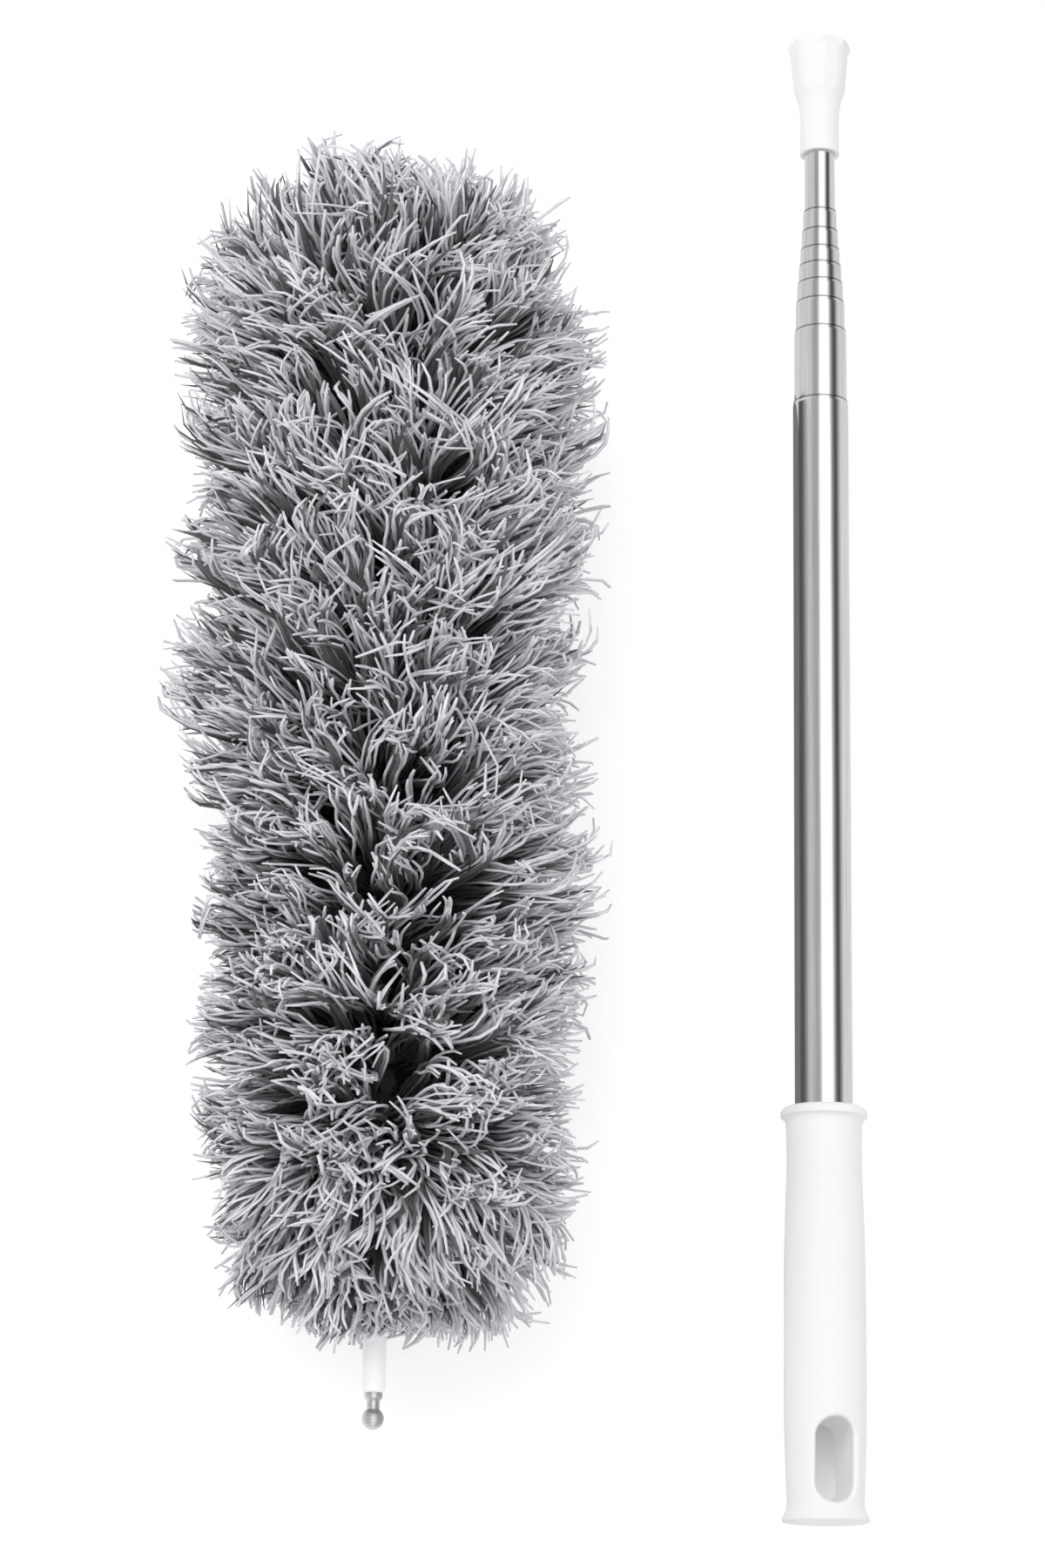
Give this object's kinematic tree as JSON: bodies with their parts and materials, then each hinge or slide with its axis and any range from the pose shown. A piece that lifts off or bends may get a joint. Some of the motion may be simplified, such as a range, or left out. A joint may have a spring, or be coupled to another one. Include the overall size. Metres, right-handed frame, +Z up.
{
  "type": "feather duster",
  "caption": "Feather duster with a grey and white microfibre head that bends, and an extending steel pole with a white grip, laid out with the head detached.",
  "frame": {"origin": "centre of the bottom of the bounding box, on the surface that the duster lies on", "axes": "+Y along the pole and the head, from the handle's butt to the socket; +X from the head towards the pole; +Z up"},
  "size_m": [0.227, 0.5164, 0.1304],
  "materials": {
    "white_plastic": "satin white moulding",
    "stub_plastic": "white sleeve",
    "polished_steel": "polished stainless steel",
    "pin_steel": "turned steel",
    "spring_steel": "spring wire",
    "core_steel": "galvanised soft wire",
    "sleeve_plastic": "natural nylon",
    "dark_plastic": "black moulding",
    "sheath_plastic": "soft white tube",
    "backing_fabric": "woven tape",
    "pile_fabric": "grey and white chenille microfibre yarns"
  },
  "bodies": {
    "handle": {"handle_grip": "white_plastic", "tube_9": "polished_steel", "tube_bottom_plug": "dark_plastic"},
    "section_8": {"tube_8": "polished_steel", "friction_sleeve_8": "sleeve_plastic"},
    "section_7": {"tube_7": "polished_steel", "friction_sleeve_7": "sleeve_plastic"},
    "section_6": {"tube_6": "polished_steel", "friction_sleeve_6": "sleeve_plastic"},
    "section_5": {"tube_5": "polished_steel", "friction_sleeve_5": "sleeve_plastic"},
    "section_4": {"tube_4": "polished_steel", "friction_sleeve_4": "sleeve_plastic"},
    "section_3": {"tube_3": "polished_steel", "friction_sleeve_3": "sleeve_plastic"},
    "section_2": {"tube_2": "polished_steel", "friction_sleeve_2": "sleeve_plastic"},
    "section_1": {"tube_1": "polished_steel", "friction_sleeve_1": "sleeve_plastic", "pole_socket": "white_plastic", "snap_ring": "spring_steel"},
    "head_base": {"stub_sleeve": "stub_plastic", "snap_pin": "pin_steel", "core_wire_base": "core_steel", "core_sheath_base": "sheath_plastic", "pile_backing_base": "backing_fabric", "pile_base": "pile_fabric"},
    "head_lower": {"core_wire_lower": "core_steel", "core_sheath_lower": "sheath_plastic", "pile_backing_lower": "backing_fabric", "pile_lower": "pile_fabric"},
    "head_upper": {"core_wire_upper": "core_steel", "core_sheath_upper": "sheath_plastic", "pile_backing_upper": "backing_fabric", "pile_upper": "pile_fabric"},
    "head_tip": {"core_wire_tip": "core_steel", "core_sheath_tip": "sheath_plastic", "pile_backing_tip": "backing_fabric", "pile_tip": "pile_fabric", "core_tip_cap": "sheath_plastic"}
  },
  "joints": [
    {"name": "slide_8", "type": "slide", "parent": "handle", "child": "section_8", "axis": [0, 1, 0], "range_m": [0, 0.25]},
    {"name": "slide_7", "type": "slide", "parent": "section_8", "child": "section_7", "axis": [0, 1, 0], "range_m": [0, 0.25]},
    {"name": "slide_6", "type": "slide", "parent": "section_7", "child": "section_6", "axis": [0, 1, 0], "range_m": [0, 0.25]},
    {"name": "slide_5", "type": "slide", "parent": "section_6", "child": "section_5", "axis": [0, 1, 0], "range_m": [0, 0.25]},
    {"name": "slide_4", "type": "slide", "parent": "section_5", "child": "section_4", "axis": [0, 1, 0], "range_m": [0, 0.25]},
    {"name": "slide_3", "type": "slide", "parent": "section_4", "child": "section_3", "axis": [0, 1, 0], "range_m": [0, 0.25]},
    {"name": "slide_2", "type": "slide", "parent": "section_3", "child": "section_2", "axis": [0, 1, 0], "range_m": [0, 0.25]},
    {"name": "slide_1", "type": "slide", "parent": "section_2", "child": "section_1", "axis": [0, 1, 0], "range_m": [0, 0.25]},
    {"name": "head_lift", "type": "slide", "parent": "handle", "child": "head_base", "axis": [0, 0, 1], "range_m": [0, 0.25]},
    {"name": "bend_lower", "type": "hinge", "parent": "head_base", "child": "head_lower", "pos_m": [-0.04544, -0.1072, 0.062], "axis": [0, 0, 1], "range_deg": [0, 30]},
    {"name": "bend_upper", "type": "hinge", "parent": "head_lower", "child": "head_upper", "pos_m": [-0.04544, -0.0102, 0.062], "axis": [0, 0, 1], "range_deg": [0, 30]},
    {"name": "bend_tip", "type": "hinge", "parent": "head_upper", "child": "head_tip", "pos_m": [-0.04544, 0.0868, 0.062], "axis": [0, 0, 1], "range_deg": [0, 30]}
  ]
}
